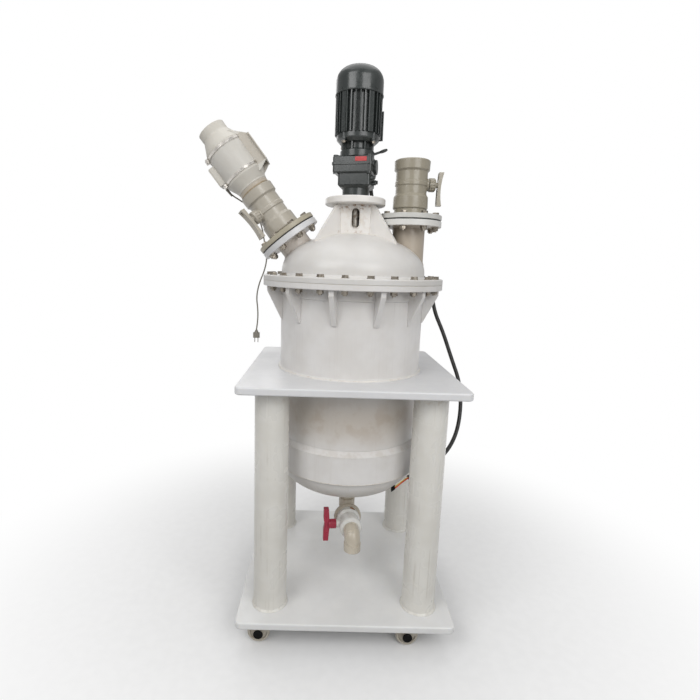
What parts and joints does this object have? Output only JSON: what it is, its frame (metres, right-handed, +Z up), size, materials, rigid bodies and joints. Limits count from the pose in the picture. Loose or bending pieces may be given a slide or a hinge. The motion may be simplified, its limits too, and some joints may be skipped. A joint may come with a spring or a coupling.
{
  "type": "hydrothermal reactor",
  "caption": "Stirred plastic reaction kettle on a four-legged castor stand, with a bolted domed lid, gear motor, feed and vent valves, inline fan and bottom drain valve.",
  "frame": {"origin": "on the floor under the middle of the overall box; the vessel and drive axis stands 90.1 mm along +X from it", "axes": "+Z up; -Y is the front, where the drain valve and the sight slot face; +X points to the feed valve side"},
  "size_m": [0.9805, 0.7, 1.904],
  "materials": {
    "pp_vessel": "satin",
    "pp_plate": "satin",
    "pp_leg": "satin",
    "pp_pedestal": "satin",
    "pipe_grey": "satin",
    "flange_grey": "satin",
    "flange_beige": "satin",
    "valve_beige": "satin",
    "fan_plastic": "satin",
    "valve_white": "gloss",
    "elbow_beige": "satin",
    "handle_red": "gloss",
    "motor_paint": "gloss",
    "gearbox_paint": "gloss",
    "stainless": "satin",
    "steel": "satin",
    "rubber_black": "matte",
    "shaft_plastic": "satin",
    "ball_white": "gloss",
    "castor_grey": "satin",
    "wheel_grey": "matte",
    "cord_grey": "matte",
    "cable_black": "matte"
  },
  "bodies": {
    "kettle": {"base_plate": "pp_plate", "deck_plate": "pp_plate", "castor_plates": "steel", "vessel_shell": "pp_vessel", "vessel_flange": "pp_vessel", "bottom_head": "pp_vessel", "main_gasket": "fan_plastic", "lid": "pp_vessel", "lid_bolts": "stainless", "pedestal": "pp_pedestal", "shaft_seal": "shaft_plastic", "fan_inlet": "fan_plastic", "fan_body": "fan_plastic", "fan_outlet": "fan_plastic", "fan_clamps": "stainless", "fan_bracket": "fan_plastic", "fan_junction_box": "fan_plastic", "drain_elbow": "elbow_beige", "drain_valve_body": "valve_white", "drain_outlet": "elbow_beige", "gearbox": "gearbox_paint", "motor_shield": "gearbox_paint", "motor_frame": "motor_paint", "motor_cowl": "motor_paint", "terminal_box": "motor_paint", "fan_cord": "cord_grey", "fan_plug": "cord_grey", "motor_cable": "cable_black", "leg_front_left": "pp_leg", "leg_front_right": "pp_leg", "leg_back_left": "pp_leg", "leg_back_right": "pp_leg", "feed_nozzle": "pipe_grey", "feed_gasket": "rubber_black", "feed_upper_flange": "flange_grey", "feed_flange_bolts": "stainless", "feed_valve_body": "valve_beige", "vent_nozzle": "pipe_grey", "vent_gasket": "rubber_black", "vent_upper_flange": "flange_beige", "vent_flange_bolts": "stainless", "vent_valve_body": "valve_beige"},
    "agitator": {"agitator": "shaft_plastic", "shaft_coupling": "steel"},
    "motor_rotor": {"motor_rotor": "steel"},
    "feed_valve": {"feed_valve_ball": "ball_white", "feed_valve_handle": "valve_beige"},
    "vent_valve": {"vent_valve_ball": "ball_white", "vent_valve_handle": "valve_beige"},
    "drain_valve": {"drain_valve_ball": "ball_white", "drain_valve_handle": "handle_red"},
    "fan_rotor": {"fan_impeller": "fan_plastic"},
    "castor_front_left": {"castor_fork_front_left": "castor_grey"},
    "wheel_front_left": {"castor_wheel_front_left": "wheel_grey"},
    "castor_front_right": {"castor_fork_front_right": "castor_grey"},
    "wheel_front_right": {"castor_wheel_front_right": "wheel_grey"},
    "castor_back_left": {"castor_fork_back_left": "castor_grey"},
    "wheel_back_left": {"castor_wheel_back_left": "wheel_grey"},
    "castor_back_right": {"castor_fork_back_right": "castor_grey"},
    "wheel_back_right": {"castor_wheel_back_right": "wheel_grey"}
  },
  "joints": [
    {"name": "agitator_spin", "type": "hinge", "parent": "kettle", "child": "agitator", "pos_m": [0.0901, 0, 1.417], "axis": [0, 0, 1], "continuous": true},
    {"name": "motor_spin", "type": "hinge", "parent": "kettle", "child": "motor_rotor", "pos_m": [0.0901, 0, 1.8], "axis": [0, 0, 1], "continuous": true},
    {"name": "feed_valve_turn", "type": "hinge", "parent": "kettle", "child": "feed_valve", "pos_m": [0.2811, 0, 1.54], "axis": [1, 0, 0], "range_deg": [0, 90]},
    {"name": "vent_valve_turn", "type": "hinge", "parent": "kettle", "child": "vent_valve", "pos_m": [-0.20701, 0, 1.44089], "axis": [-0.6037, -0.6428, -0.4716], "range_deg": [0, 90]},
    {"name": "drain_valve_turn", "type": "hinge", "parent": "kettle", "child": "drain_valve", "pos_m": [0.11015, -0.07658, 0.315], "axis": [-0.9945, -0.1045, 0], "range_deg": [0, 90]},
    {"name": "fan_spin", "type": "hinge", "parent": "kettle", "child": "fan_rotor", "pos_m": [-0.31229, 0, 1.57564], "axis": [-0.6157, 0, 0.788], "continuous": true},
    {"name": "castor_swivel_front_left", "type": "hinge", "parent": "kettle", "child": "castor_front_left", "pos_m": [-0.1589, -0.277, 0.087], "axis": [0, 0, 1], "continuous": true},
    {"name": "wheel_roll_front_left", "type": "hinge", "parent": "castor_front_left", "child": "wheel_front_left", "pos_m": [-0.1949, -0.277, 0.0375], "axis": [0, 1, 0], "continuous": true},
    {"name": "castor_swivel_front_right", "type": "hinge", "parent": "kettle", "child": "castor_front_right", "pos_m": [0.3391, -0.277, 0.087], "axis": [0, 0, 1], "continuous": true},
    {"name": "wheel_roll_front_right", "type": "hinge", "parent": "castor_front_right", "child": "wheel_front_right", "pos_m": [0.3031, -0.277, 0.0375], "axis": [0, 1, 0], "continuous": true},
    {"name": "castor_swivel_back_left", "type": "hinge", "parent": "kettle", "child": "castor_back_left", "pos_m": [-0.1589, 0.277, 0.087], "axis": [0, 0, 1], "continuous": true},
    {"name": "wheel_roll_back_left", "type": "hinge", "parent": "castor_back_left", "child": "wheel_back_left", "pos_m": [-0.1949, 0.277, 0.0375], "axis": [0, 1, 0], "continuous": true},
    {"name": "castor_swivel_back_right", "type": "hinge", "parent": "kettle", "child": "castor_back_right", "pos_m": [0.3391, 0.277, 0.087], "axis": [0, 0, 1], "continuous": true},
    {"name": "wheel_roll_back_right", "type": "hinge", "parent": "castor_back_right", "child": "wheel_back_right", "pos_m": [0.3031, 0.277, 0.0375], "axis": [0, 1, 0], "continuous": true}
  ],
  "couplings": [
    {"joint": "motor_spin", "follows": "agitator_spin", "ratio": 16}
  ]
}
